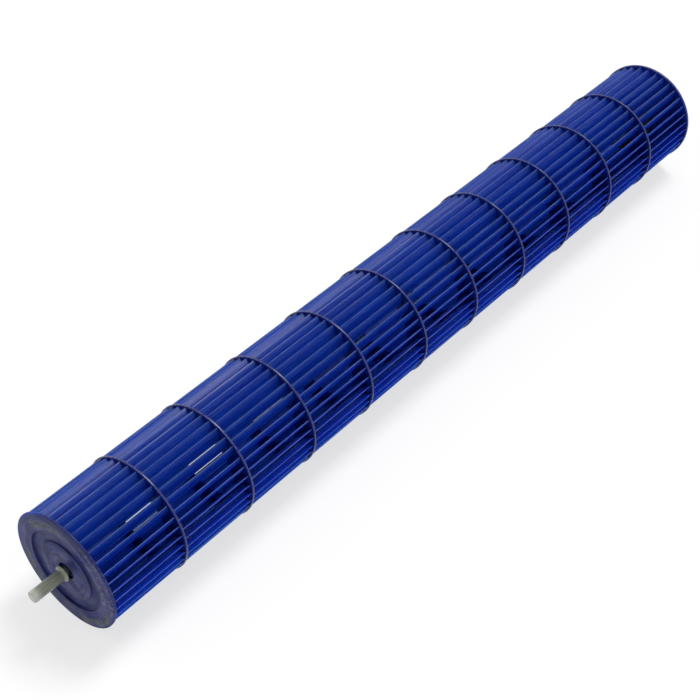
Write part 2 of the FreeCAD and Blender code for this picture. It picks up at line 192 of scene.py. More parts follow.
def turned(name, corners, steps=ROUND_STEPS):
    """A turned piece from its half section: (radius, station, rounding) at each corner."""
    first = Vector((corners[0][0], corners[0][1], 0))
    piece = start_point(name, first)
    here = first
    for radius, station, _ in list(corners[1:]) + [corners[0]]:
        there = Vector((radius, station, 0))
        draw_by(there - here)
        here = there
    bpy.ops.mesh.select_all(action="SELECT")
    bpy.ops.mesh.remove_doubles(threshold=SAME_PLACE)
    for rounding in sorted({corner[2] for corner in corners if corner[2]}):
        places = [Vector((r, y, 0)) for r, y, size in corners if size == rounding]
        select_points(piece, lambda co: any((co - place).length < SAME_PLACE for place in places))
        bpy.ops.mesh.bevel(affect="VERTICES", offset=rounding, segments=ROUNDING_STEPS)
    bpy.ops.mesh.select_all(action="SELECT")
    bpy.ops.mesh.spin(
        steps=steps, angle=math.tau, center=(0, 0, 0), axis=(0, 1, 0), use_auto_merge=True)
    bpy.ops.mesh.select_all(action="SELECT")
    bpy.ops.mesh.remove_doubles(threshold=SAME_PLACE)
    bpy.ops.mesh.normals_make_consistent(inside=False)
    bpy.ops.object.mode_set(mode="OBJECT")
    bpy.ops.object.shade_smooth_by_angle(angle=CREASE)
    return piece


# %% [markdown]
# ## One blade
# A blade is a strip of plastic bent to a shallow arc across the drum. It leans well off the radius,
# so that its outer edge scoops the air. It is drawn as a single edge along the drum, spun on the
# arc's own centre into a curved sheet, and given its wall by Solidify. A vertex group thins that
# wall towards both long edges, which are then rounded, as they are where the two halves of the
# mould met. With no window, spin and rotate turn against the right-hand rule, so their angles are
# negative here.

# %% Helper for places round the axis
def round_axis(radius, degrees, station=0):
    """A point at that radius and turn about the wheel's axis. Turns run from +X towards -Z."""
    turn = math.radians(degrees)
    return Vector((radius * math.cos(turn), station, -radius * math.sin(turn)))


def turn_selected(degrees):
    bpy.ops.transform.rotate(
        value=-math.radians(degrees), orient_axis="Y", center_override=(0, 0, 0))


# %% The blade's arc
blade_outer = round_axis(TIP_RADIUS, 0)
blade_inner = round_axis(ROOT_RADIUS, BLADE_SWEEP)
chord = blade_inner - blade_outer
back_way = Vector((-chord.z, 0, chord.x)).normalized()
if back_way.dot(round_axis(1, 90)) < 0:
    back_way.negate()
arc_radius = chord.length ** 2 / (8 * BLADE_CAMBER) + BLADE_CAMBER / 2
arc_centre = (blade_outer + blade_inner) / 2 - back_way * (arc_radius - BLADE_CAMBER)
arc_angle = 2 * math.asin(chord.length / 2 / arc_radius)
print(f"arc radius {arc_radius / MM:.2f} mm, arc {math.degrees(arc_angle):.1f} degrees")

# %% Model the blade
ARC_STEPS = 8
WELD = 0.15 * MM
WIDEST_AT = 0.45
EDGE_ROUNDING = BLADE_ROOT_WALL * 0.45
EDGE_STEPS = 2


def wall_share(along):
    """The wall's share of the widest, at a place from 0 at the outer to 1 at the inner edge."""
    edge_wall = BLADE_TIP_WALL if along < WIDEST_AT else BLADE_ROOT_WALL
    reach = WIDEST_AT if along < WIDEST_AT else 1 - WIDEST_AT
    far = abs(along - WIDEST_AT) / reach
    return 1 - (1 - edge_wall / BLADE_WALL) * far ** 2


def model_blade(start, end):
    length = end - start + 2 * WELD
    blade = start_point("blade", blade_outer + Vector((0, start - WELD, 0)))
    draw_by((0, length, 0))
    bpy.ops.mesh.select_all(action="SELECT")
    bpy.ops.mesh.spin(steps=ARC_STEPS, angle=-arc_angle, center=arc_centre, axis=(0, 1, 0))
    bpy.ops.mesh.select_all(action="SELECT")
    bpy.ops.mesh.normals_make_consistent(inside=False)
    bpy.ops.object.mode_set(mode="OBJECT")

    group = blade.vertex_groups.new(name="wall")
    outer_spoke = blade_outer - arc_centre
    for vertex in blade.data.vertices:
        spoke = Vector((vertex.co.x, 0, vertex.co.z)) - arc_centre
        group.add([vertex.index], wall_share(outer_spoke.angle(spoke) / arc_angle), "REPLACE")
    solidify = blade.modifiers.new("wall", "SOLIDIFY")
    solidify.thickness = BLADE_WALL
    solidify.offset = 0
    solidify.vertex_group = "wall"
    bpy.ops.object.modifier_apply(modifier=solidify.name)

    def rim_edge(a, b):
        along_drum = abs(a.y - b.y) > length / 2
        flat = Vector((a.x, 0, a.z))
        near_outer = (flat - blade_outer).length < BLADE_TIP_WALL
        near_inner = (flat - blade_inner).length < BLADE_ROOT_WALL
        return along_drum and (near_outer or near_inner)

    bpy.ops.object.mode_set(mode="EDIT")
    select_edges(blade, rim_edge)
    bpy.ops.mesh.bevel(offset=EDGE_ROUNDING, segments=EDGE_STEPS)
    bpy.ops.mesh.select_all(action="SELECT")
    bpy.ops.mesh.normals_make_consistent(inside=False)
    bpy.ops.object.mode_set(mode="OBJECT")
    return blade


BLADE_END = FIRST_START + PITCH - RING_THICKNESS
blade = model_blade(FIRST_START, BLADE_END)
reach = max(math.hypot(v.co.x, v.co.z) for v in blade.data.vertices)
inmost = min(math.hypot(v.co.x, v.co.z) for v in blade.data.vertices)
print(f"blade: {triangles(blade)} triangles, radii {inmost / MM:.2f} to {reach / MM:.2f} mm")

# %% [markdown]
# ## The crown
# Evenly spaced blades would whistle on one note, so the steps between them are uneven all round.
# The blade is turned to where the first section's crown begins, as the sections are staggered. Then
# it is copied and turned step by step about the axis.

# %% Copy the blade round
full_turn = 360 / sum(BLADE_STEPS)
bpy.ops.object.mode_set(mode="EDIT")
bpy.ops.mesh.select_mode(type="VERT")
bpy.ops.mesh.select_all(action="SELECT")
turn_selected(FIRST_BLADE + (SECTION_COUNT - 1) * STAGGER)
for step in BLADE_STEPS[:-1]:
    bpy.ops.mesh.duplicate()
    turn_selected(step * full_turn)
bpy.ops.object.mode_set(mode="OBJECT")
crown = bpy.context.object
crown.name = "crown"
bpy.ops.object.shade_smooth_by_angle(angle=CREASE)
print(f"crown of {len(BLADE_STEPS)} blades: {triangles(crown)} triangles")

# %% [markdown]
# ## Eleven sections
# Ten mouldings are alike: a crown with a ring at its far end. The blades' free ends are welded to
# the ring before them. The ring is a flat washer with rounded rims. It is turned, joined to the
# crown, and the moulding is copied along the drum, each copy a pitch further on and one stagger
# back. The crown and the ring each get their material's slot before they are joined, because the
# thick ring is to be a deeper blue than the thin blades. The nodes of both materials come further
# on.

# %% Model the first section
RIM_ROUNDING = 0.55 * MM
BORE_ROUNDING = 0.3 * MM


def join(pieces, name):
    """Joins the pieces into the first one."""
    bpy.ops.object.select_all(action="DESELECT")
    for piece in pieces:
        piece.select_set(True)
    bpy.context.view_layer.objects.active = pieces[0]
    bpy.ops.object.join()
    pieces[0].name = name
    return pieces[0]


def copy_of(piece, name):
    """A copy with its own mesh, left active and selected."""
    bpy.ops.object.select_all(action="DESELECT")
    piece.select_set(True)
    bpy.context.view_layer.objects.active = piece
    bpy.ops.object.duplicate()
    bpy.context.object.name = name
    return bpy.context.object


def move_along(piece, sections):
    """Moves a moulding on by that many sections, with the stagger."""
    bpy.ops.object.mode_set(mode="EDIT")
    bpy.ops.mesh.select_mode(type="VERT")
    bpy.ops.mesh.select_all(action="SELECT")
    bpy.ops.transform.translate(value=(0, sections * PITCH, 0))
    turn_selected(-sections * STAGGER)
    bpy.ops.object.mode_set(mode="OBJECT")


thin_blue = bpy.data.materials.new("blue_styrene_thin")
thick_blue = bpy.data.materials.new("blue_styrene_thick")
crown.data.materials.append(thin_blue)
last_crown = copy_of(crown, "last_crown")
move_along(last_crown, SECTION_COUNT - 1)
RING_END = BLADE_END + RING_THICKNESS
ring = turned("ring", (
    (BORE_RADIUS, BLADE_END, BORE_ROUNDING),
    (RING_RADIUS, BLADE_END, RIM_ROUNDING),
    (RING_RADIUS, RING_END, RIM_ROUNDING),
    (BORE_RADIUS, RING_END, BORE_ROUNDING),
))
ring.data.materials.append(thick_blue)
rows = [join([crown, ring], "blade_row_01")]

# %% Copy it along the drum
for number in range(2, SECTION_COUNT):
    row = copy_of(rows[0], f"blade_row_{number:02d}")
    move_along(row, number - 1)
    rows.append(row)
print(f"{len(rows)} rows of {triangles(rows[0])} triangles")

# %% [markdown]
# ## The motor end
# The last crown stands on a closed disc, with a recess in it for the motor's nose. It is one
# moulding, so the turned disc is joined to its blades.

# %% Model the motor end
RECESS_RADIUS = 22 * MM
RECESS_DEPTH = 14 * MM
RECESS_WALL = 2 * MM
MOTOR_DISC = 2.4 * MM
RUBBER_NECK = 15 * MM
SOFT_EDGE = 0.4 * MM
recess_floor = MOTOR_FACE - RECESS_DEPTH
disc = turned("disc", (
    (RUBBER_NECK, recess_floor - RECESS_WALL, 0),
    (RECESS_RADIUS + RECESS_WALL, recess_floor - RECESS_WALL, SOFT_EDGE),
    (RECESS_RADIUS + RECESS_WALL, MOTOR_FACE - MOTOR_DISC, 0),
    (RING_RADIUS, MOTOR_FACE - MOTOR_DISC, RIM_ROUNDING),
    (RING_RADIUS, MOTOR_FACE, RIM_ROUNDING),
    (RECESS_RADIUS, MOTOR_FACE, SOFT_EDGE),
    (RECESS_RADIUS, recess_floor, SOFT_EDGE),
    (RUBBER_NECK, recess_floor, 0),
))
disc.data.materials.append(thick_blue)
motor_row = join([last_crown, disc], "motor_end_row")
print(f"motor end: {triangles(motor_row)} triangles")

# %% [markdown]
# ## The bearing end plate
# The shaft end is closed by a dished plate of smoky plastic: a flat outer ring, a wide groove, a
# middle disc a little below the face, and a pocket round the shaft. The edges of the groove are
# soft, as moulded plastic is, so its corners get generous roundings.

# %% Model the end plate
PLATE_WALL = 2 * MM
GROOVE_DEPTH = 1.8 * MM
GROOVE_WIDTH = 9.3 * MM
GROOVE_GAP = 2.1 * MM
DISC_RECESS = 0.6 * MM
POCKET_RADIUS = 7 * MM
POCKET_DEPTH = 3.4 * MM
PLATE_BOSS = 11 * MM
SHAFT_RADIUS = 4 * MM
PLATE_EDGE = 0.5 * MM
groove_out = ROOT_RADIUS - GROOVE_GAP - PLATE_WALL
groove_in = groove_out - GROOVE_WIDTH
boss_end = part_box("bearing_end_plate")[1].y
end_plate = turned("end_plate", (
    (SHAFT_RADIUS, PLATE_FACE + POCKET_DEPTH, 0),
    (POCKET_RADIUS, PLATE_FACE + POCKET_DEPTH, SOFT_EDGE),
    (POCKET_RADIUS, PLATE_FACE + DISC_RECESS, SOFT_EDGE),
    (groove_in, PLATE_FACE + DISC_RECESS, PLATE_EDGE),
    (groove_in, PLATE_FACE + GROOVE_DEPTH, PLATE_EDGE),
    (groove_out, PLATE_FACE + GROOVE_DEPTH, PLATE_EDGE),
    (groove_out, PLATE_FACE, PLATE_EDGE),
    (RING_RADIUS, PLATE_FACE, RIM_ROUNDING),
    (RING_RADIUS, PLATE_FACE + PLATE_WALL, SOFT_EDGE),
    (groove_out + PLATE_WALL, PLATE_FACE + PLATE_WALL, 0),
    (groove_out + PLATE_WALL, PLATE_FACE + GROOVE_DEPTH + PLATE_WALL, SOFT_EDGE),
    (groove_in - PLATE_WALL, PLATE_FACE + GROOVE_DEPTH + PLATE_WALL, SOFT_EDGE),
    (groove_in - PLATE_WALL, PLATE_FACE + DISC_RECESS + PLATE_WALL, 0),
    (PLATE_BOSS, PLATE_FACE + DISC_RECESS + PLATE_WALL, 0),
    (PLATE_BOSS, boss_end, SOFT_EDGE),
    (SHAFT_RADIUS, boss_end, 0),
))
print(f"end plate: {triangles(end_plate)} triangles")

# %% [markdown]
# ## The cap
# A thin tube of clear vinyl protects the pin until the wheel is fitted. It was dipped on a former,
# so its end is rounded and its mouth rolls out to a thin rim. The tube is turned from a half
# section with large roundings where the wall changes direction.

# %% Model the cap
CAP_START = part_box("shaft_cap")[0].y
CAP_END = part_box("shaft_cap")[1].y
CAP_CLEARANCE = 0.05 * MM
CAP_BORE = SHAFT_RADIUS + CAP_CLEARANCE
CAP_WALL = 0.5 * MM
CAP_TUBE = CAP_BORE + CAP_WALL
CAP_TIP_WALL = 0.9 * MM
FLARE_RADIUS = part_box("shaft_cap")[1].x
FLARE_RIM = 0.8 * MM
FLARE_LENGTH = 1.6 * MM
TIP_ROUNDING = 0.9 * MM
FLARE_ROUNDING = 0.8 * MM
LIP_ROUNDING = 0.25 * MM
MOUTH_ROUNDING = 0.3 * MM
INNER_ROUNDING = 0.6 * MM
CAP_STEPS = 64
cap = turned("cap_tube", (
    (0, CAP_START, 0),
    (CAP_TUBE, CAP_START, TIP_ROUNDING),
    (CAP_TUBE, CAP_END - FLARE_RIM - FLARE_LENGTH, FLARE_ROUNDING),
    (FLARE_RADIUS, CAP_END - FLARE_RIM, LIP_ROUNDING),
    (FLARE_RADIUS, CAP_END, LIP_ROUNDING),
    (CAP_BORE, CAP_END, MOUTH_ROUNDING),
    (CAP_BORE, CAP_START + CAP_TIP_WALL, INNER_ROUNDING),
    (0, CAP_START + CAP_TIP_WALL, 0),
), steps=CAP_STEPS)
print(f"cap: {triangles(cap)} triangles")

# %% [markdown]
# ## The rubber mount
# The hub's metal core is held in black rubber, which keeps the motor's hum out of the drum. It
# grips the recess's floor in a groove, with a thin lip outside.

# %% Model the rubber
RUBBER_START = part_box("rubber_boss")[0].y
RUBBER_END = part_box("rubber_boss")[1].y
RUBBER_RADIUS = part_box("rubber_boss")[1].x
LIP_RADIUS = 17.5 * MM
HUB_RADIUS = 8 * MM
RUBBER_EDGE = 0.8 * MM
HUB_EDGE = 0.3 * MM
RUBBER_STEPS = 96
rubber = turned("rubber_mount", (
    (HUB_RADIUS, RUBBER_START, 0),
    (RUBBER_RADIUS, RUBBER_START, RUBBER_EDGE),
    (RUBBER_RADIUS, recess_floor - RECESS_WALL, RUBBER_EDGE),
    (RUBBER_NECK, recess_floor - RECESS_WALL, 0),
    (RUBBER_NECK, recess_floor, 0),
    (LIP_RADIUS, recess_floor, 0),
    (LIP_RADIUS, RUBBER_END, RUBBER_EDGE),
    (HUB_RADIUS, RUBBER_END, HUB_EDGE),
), steps=RUBBER_STEPS)
print(f"rubber: {triangles(rubber)} triangles")

# %% [markdown]
# ## Colours and nodes
# Finishes are written as sRGB hex colours, as a picker shows them, and one function turns them into
# the linear values that shaders use. One more function adds a node with its settings and links. A
# third starts a material with an empty tree, and a fourth links the finished shader to its output.

# %% Helpers for nodes
def linear(hex_colour):
    """An sRGB hex colour as linear red, green, blue and alpha."""
    channels = [int(hex_colour[i:i + 2], 16) / 255 for i in (1, 3, 5)]
    colour = [c / 12.92 if c <= 0.04045 else ((c + 0.055) / 1.055) ** 2.4 for c in channels]
    return *colour, 1.0


def add_node(tree, kind, inputs=None, **settings):
    """A node with its own settings. Each input is a value, or another node's output to link."""
    node = tree.nodes.new(kind)
    for name, value in settings.items():
        setattr(node, name, value)
    for socket, value in (inputs or {}).items():
        if isinstance(value, bpy.types.NodeSocket):
            tree.links.new(value, node.inputs[socket])
        else:
            node.inputs[socket].default_value = value
    return node


def empty_tree(material):
    material.use_nodes = True
    material.node_tree.nodes.clear()
    return material.node_tree


def surface(tree, shader):
    """Links the shader to the material's output."""
    add_node(tree, "ShaderNodeOutputMaterial", {"Surface": shader.outputs[0]})
    print(f"{len(tree.nodes)} nodes")


# %% [markdown]
# ## Patterns by their real size
# Streaks, specks and haze are all clouds of noise, stretched to the size that the real ones have. A
# table gives each pattern's size in millimetres along X, Y and Z, its detail, and the two levels of
# noise between which it grows from none to full. A pixel of the main view is about 0.7 mm, so what
# is finer on the real wheel, such as its glass fibres, is drawn at that size, or it wouldn't show.

# %% Helper for patterns
def patterns(tree, place, rows):
    """Shares from 0 to 1 that follow clouds of noise: (sizes in mm, detail, none at, full at)."""
    shares = []
    for sizes, detail, none_at, full_at in rows:
        stretch = [1 / (size * MM) for size in sizes]
        spread = add_node(tree, "ShaderNodeVectorMath", {
            0: place, 1: stretch}, operation="MULTIPLY")
        cloud = add_node(tree, "ShaderNodeTexNoise", {
            "Vector": spread.outputs[0], "Scale": 1.0, "Detail": detail})
        share = add_node(tree, "ShaderNodeMapRange", {
            "Value": cloud.outputs["Fac"], "From Min": none_at, "From Max": full_at})
        shares.append(share.outputs["Result"])
    return shares


# %% [markdown]
# ## Stains over a colour
# A worn surface is built up as a painter does it: a ground colour, and over it one stain after the
# other, each held to where it belongs. The shares that hold a stain are multiplied, so a scuff that
# lies on the rim and in a cloud of specks is found only where both are.

# %% Helper for stains
def stained(tree, ground, stains):
    """The ground with stains over it: (hex colour, strength, the shares that hold it)."""
    colour = ground
    for stain, strength, *shares in stains:
        amount = strength
        for share in shares:
            product = add_node(tree, "ShaderNodeMath", {0: share, 1: amount}, operation="MULTIPLY")
            amount = product.outputs[0]
        layer = add_node(tree, "ShaderNodeMix", {
            "Factor": amount, "A": colour, "B": linear(stain)}, data_type="RGBA")
        colour = layer.outputs["Result"]
    return colour


# %% [markdown]
# ## Where a point lies about the axis
# The whole wheel is round, so its wear and its flow marks follow the distance from the axis and the
# direction about it. Both come from the point's place without its station along the axis.

# %% Helper for places about the axis
def about_axis(tree, place):
    """A point's distance from the wheel's axis, and its direction about it."""
    flat = add_node(tree, "ShaderNodeVectorMath", {0: place, 1: (1, 0, 1)}, operation="MULTIPLY")
    distance = add_node(tree, "ShaderNodeVectorMath", {0: flat.outputs[0]}, operation="LENGTH")
    direction = add_node(tree, "ShaderNodeVectorMath", {0: flat.outputs[0]}, operation="NORMALIZE")
    return distance.outputs["Value"], direction.outputs[0]


# %% [markdown]
# ## Blue styrene
# The blades are moulded in glass-filled styrene acrylonitrile, tinted cobalt blue. Light goes into
# a thin blade and scatters, so the crown glows an even blue. The outer edges are painted paler: a
# painted highlight, a thin lighter line along each edge, stronger where they are rubbed. The melt
# ran along the blades as it filled them, and left fine streaks of lighter and darker blue, which
# also stand a little proud and take the light along the crest. The glass fibres, drawn coarser than
# they are, give the satin skin a fine grain.

# %% Blue styrene for the blades
def blue_blades():
    tree = empty_tree(thin_blue)
    place = add_node(tree, "ShaderNodeTexCoord").outputs["Object"]
    distance, _ = about_axis(tree, place)
    streaks, rubs, fibres = patterns(tree, place, (
        ((0.667, 83.3, 0.667), 3, 0.3, 0.7),
        ((3.33, 16.7, 3.33), 4, 0.3, 0.7),
        ((0.714, 0.714, 0.714), 2, 0, 1),
    ))
    edge = add_node(tree, "ShaderNodeMapRange", {
        "Value": distance, "From Min": TIP_RADIUS - 0.5 * MM, "From Max": TIP_RADIUS - 0.1 * MM})
    edge_wear_and_highlight = add_node(tree, "ShaderNodeMapRange", {"Value": rubs, "To Min": 0.1, "To Max": 0.5})
    grain = add_node(tree, "ShaderNodeMapRange", {"Value": fibres, "To Min": 0.7, "To Max": 1})
    skin = add_node(tree, "ShaderNodeMath", {0: grain.outputs[0], 1: streaks}, operation="MULTIPLY")
    relief = add_node(tree, "ShaderNodeBump", {
        "Height": skin.outputs[0], "Strength": 0.18, "Distance": 0.3 * MM})
    dullness = add_node(tree, "ShaderNodeMapRange", {
        "Value": streaks, "To Min": 0.22, "To Max": 0.4})
    shader = add_node(tree, "ShaderNodeBsdfPrincipled", {
        "Base Color": stained(tree, linear("#08289a"), (
            ("#1c4cca", 1, streaks),
            # Painted highlight: a paler line along the blades' outer edges, stronger where rub wear
            # is.
            ("#5468cc", 1, edge.outputs[0], edge_wear_and_highlight.outputs[0]),
        )),
        "Subsurface Weight": 1,
        "Subsurface Radius": (0.35, 0.4, 1),
        "Subsurface Scale": 15 * MM,
        "Roughness": dullness.outputs[0],
        "IOR": 1.3,
        "Specular IOR Level": 0.18,
        "Transmission Weight": 0.4,
        "Normal": relief.outputs[0],
    })
    surface(tree, shader)


blue_blades()

# %% [markdown]
# ## The same styrene in the rings
# A ring is 20 mm of plastic from rim to bore where a blade's wall is 1.2 mm, so it is a much deeper
# blue. The melt ran round as it filled the rings and the motor end's disc, and left broken rings of
# paler haze, about 5 mm apart. The wheel rolls and rubs on the rings' rims, and in the carton on the
# disc's face. They are scuffed to a purple-grey bloom with specks of 1 to 2 mm.

# %% Helper for patterns that run round
ROUND_RADIUS = 40 * MM


def place_in_rings(tree, distance, direction):
    """The distance from the axis along Y, and the direction as a place on a circle in X and Z."""
    out = add_node(tree, "ShaderNodeCombineXYZ", {"Y": distance}).outputs[0]
    reach = (ROUND_RADIUS, 0, ROUND_RADIUS)
    circle = add_node(tree, "ShaderNodeVectorMath", {0: direction, 1: reach}, operation="MULTIPLY")
    return add_node(tree, "ShaderNodeVectorMath", {0: out, 1: circle.outputs[0]}).outputs[0]


# %% Blue styrene for the rings
def blue_rings():
    tree = empty_tree(thick_blue)
    place = add_node(tree, "ShaderNodeTexCoord").outputs["Object"]
    distance, direction = about_axis(tree, place)
    specks, rubs = patterns(tree, place, (
        ((1.43, 1.43, 1.43), 4, 0.35, 0.65),
        ((6.25, 6.25, 6.25), 6, 0.5, 0.75),
    ))
    rings = place_in_rings(tree, distance, direction)
    haze, = patterns(tree, rings, (((26.7, 5, 26.7), 5, 0.38, 0.66),))
    rim = add_node(tree, "ShaderNodeMapRange", {
        "Value": distance, "From Min": RING_RADIUS - 0.9 * MM, "From Max": RING_RADIUS - 0.1 * MM})
    scuffs = add_node(tree, "ShaderNodeMath", {0: rim.outputs[0], 1: specks}, operation="MULTIPLY")
    station = add_node(tree, "ShaderNodeSeparateXYZ", {"Vector": place}).outputs["Y"]
    face = add_node(tree, "ShaderNodeMapRange", {
        "Value": station, "From Min": MOTOR_FACE - 0.6 * MM, "From Max": MOTOR_FACE - 0.1 * MM})
    relief = add_node(tree, "ShaderNodeBump", {
        "Height": specks, "Strength": 0.1, "Distance": 0.2 * MM})
    dullness = add_node(tree, "ShaderNodeMapRange", {
        "Value": scuffs.outputs[0], "To Min": 0.2, "To Max": 0.34})
    shader = add_node(tree, "ShaderNodeBsdfPrincipled", {
        "Base Color": stained(tree, linear("#0a1f78"), (
            ("#142e98", 1, haze),
            ("#3c478e", 0.5, face.outputs[0], rubs),
            ("#4a4f86", 1, scuffs.outputs[0]),
        )),
        "Roughness": dullness.outputs[0],
        "IOR": 1.4,
        "Specular IOR Level": 0.5,
        "Transmission Weight": 0.3,
        "Normal": relief.outputs[0],
    })
    surface(tree, shader)


blue_rings()

# %% [markdown]
# ## Smoky styrene
# The end plate is moulded in a smoky regrind of the same blue resin. The melt was let in at the
# middle and ran round as it filled the plate, so it shows broken rings of pale haze, some 4 mm
# apart, and fine dark ones. The groove is painted a deeper blue, as painted shade in the recess. The
# rim is painted a deeper blue all round and a brighter blue on one side, as painted light that comes
# through the edge. The outer ring is the face that rubs on its neighbours in the carton: it is
# scuffed to specks of white on one side, and has a faint olive bloom of old resin in three places.

# %% Helpers for places on the plate
FADE = 14


def band(tree, distance, low, high, soft):
    """1 between two distances from the axis, fading to 0 over that softness outside them."""
    rise = add_node(tree, "ShaderNodeMapRange", {
        "Value": distance, "From Min": low - soft, "From Max": low})
    fall = add_node(tree, "ShaderNodeMapRange", {
        "Value": distance, "From Min": high + soft, "From Max": high})
    both = {0: rise.outputs[0], 1: fall.outputs[0]}
    return add_node(tree, "ShaderNodeMath", both, operation="MULTIPLY").outputs[0]


def side(tree, direction, degrees, half):
    """1 within half an angle of a direction about the axis, from +X towards +Z, fading outside."""
    turn = math.radians(degrees)
    aim = (math.cos(turn), 0, math.sin(turn))
    match = add_node(tree, "ShaderNodeVectorMath", {0: direction, 1: aim}, operation="DOT_PRODUCT")
    share = add_node(tree, "ShaderNodeMapRange", {
        "Value": match.outputs["Value"],
        "From Min": math.cos(math.radians(half + FADE)),
        "From Max": math.cos(math.radians(half))})
    return share.outputs["Result"]


# %% Smoky styrene
SCUFFED_SIDE = (22, 30)
# The side where the rim is painted a brighter blue, as painted light through the edge.
RIM_GLOW_SIDE = (190, 70)
BLOOM_WIDTH = 5
BLOOMS = ((112, 24, 37.5), (-148, 14, 39.5), (-50, 20, 41.5))


def smoky_styrene():
    material = bpy.data.materials.new("smoky_styrene_moulded")
    tree = empty_tree(material)
    place = add_node(tree, "ShaderNodeTexCoord").outputs["Object"]
    distance, direction = about_axis(tree, place)
    swirls, fine_rings = patterns(tree, place_in_rings(tree, distance, direction), (
        ((30.8, 4.35, 30.8), 5, 0.4, 0.62),
        ((13.3, 0.909, 13.3), 2, 0.3, 0.7),
    ))
    haze, specks, patches = patterns(tree, place, (
        ((11.1, 11.1, 11.1), 5, 0.35, 0.7),
        ((2.22, 2.22, 2.22), 5, 0.5, 0.7),
        ((2.38, 2.38, 2.38), 4, 0.4, 0.62),
    ))
    groove_shade = band(tree, distance, groove_in, groove_out, 0.4 * MM)
    outer = add_node(tree, "ShaderNodeMapRange", {
        "Value": distance, "From Min": groove_out, "From Max": groove_out + 1.5 * MM}).outputs[0]
    rim = add_node(tree, "ShaderNodeMapRange", {
        "Value": distance,
        "From Min": RING_RADIUS - 2 * MM,
        "From Max": RING_RADIUS - 0.4 * MM}).outputs[0]
    blooms = [("#5e6a40", 0.7, patches, side(tree, direction, degrees, half),
               band(tree, distance, inner * MM, (inner + BLOOM_WIDTH) * MM, MM))
              for degrees, half, inner in BLOOMS]
    relief = add_node(tree, "ShaderNodeBump", {
        "Height": fine_rings, "Strength": 0.15, "Distance": 0.3 * MM})
    dullness = add_node(tree, "ShaderNodeMapRange", {"Value": haze, "To Min": 0.35, "To Max": 0.6})
    shader = add_node(tree, "ShaderNodeBsdfPrincipled", {
        "Base Color": stained(tree, linear("#10184c"), (
            ("#484e84", 1, swirls),
            ("#4c5290", 0.4, haze),
            ("#141a44", 0.4, fine_rings),
            # Painted shade: the groove is painted a deeper blue.
            ("#1b2456", 0.4, groove_shade),
            ("#8c90aa", 0.5, outer, specks, side(tree, direction, *SCUFFED_SIDE)),
            *blooms,
            # Painted light: the rim is painted a deeper blue all round, and a brighter blue on one
            # side.
            ("#1c2664", 0.6, rim),
            ("#1a3aa4", 0.9, rim, side(tree, direction, *RIM_GLOW_SIDE)),
        )),
        "Roughness": dullness.outputs[0],
        "IOR": 1.35,
        "Specular IOR Level": 0.2,
        "Normal": relief.outputs[0],
    })
    surface(tree, shader)
    return material


smoky = smoky_styrene()

# %% [markdown]
# ## Clear vinyl
# The cap was dipped on a former: soft, clear vinyl with a cloudy, green-grey tinge. Where the steel
# pin fills it, it looks dark. The empty end beyond the pin is painted whiter, as painted light that
# comes through the empty tube. The vinyl drew out along the tube and left faint streaks a millimetre
# wide.

# %% Clear vinyl
def clear_vinyl():
    material = bpy.data.materials.new("clear_vinyl_dipped")
    tree = empty_tree(material)
    place = add_node(tree, "ShaderNodeTexCoord").outputs["Object"]
    cloud, = patterns(tree, place, (((1.11, 14.3, 1.11), 3, 0.2, 0.8),))
    station = add_node(tree, "ShaderNodeSeparateXYZ", {"Vector": place}).outputs["Y"]
    empty_tip_light = add_node(tree, "ShaderNodeMapRange", {
        "Value": station, "From Min": CAP_START + 7 * MM, "From Max": CAP_START + 3 * MM})
    mouth = add_node(tree, "ShaderNodeMapRange", {
        "Value": station, "From Min": CAP_END - FLARE_RIM - FLARE_LENGTH, "From Max": CAP_END})
    relief = add_node(tree, "ShaderNodeBump", {
        "Height": cloud, "Strength": 0.1, "Distance": 0.3 * MM})
    dullness = add_node(tree, "ShaderNodeMapRange", {
        "Value": cloud, "To Min": 0.12, "To Max": 0.22})
    shader = add_node(tree, "ShaderNodeBsdfPrincipled", {
        "Base Color": stained(tree, linear("#989e8e"), (
            ("#c8cdbc", 1, cloud),
            # Painted light: the empty tip beyond the pin is painted whiter.
            ("#f0f2ec", 0.65, empty_tip_light.outputs[0]),
            ("#d4d8cc", 0.4, mouth.outputs[0]),
        )),
        "Roughness": dullness.outputs[0],
        "IOR": 1.45,
        "Transmission Weight": 0.6,
        "Normal": relief.outputs[0],
    })
    surface(tree, shader)
    return material


vinyl = clear_vinyl()

# %% [markdown]
# ## Metals
# The pin is ground steel: the wheel left fine lines round it. The hub's core is turned aluminium,
# with coarser rings of the lathe tool. The set screw is blackened steel, rubbed bright in places.
# All three are the same recipe: two tones and a roughness that follow lines round the axis, with a
# slight bump. The lines change with the station and with the radius, so that end faces show them as
# rings. The screw's are as short as they are wide, which makes them blotches. Real grinding lines
# are a few hundredths of a millimetre apart, and are drawn a quarter of a millimetre apart, so that
# they show from close by.

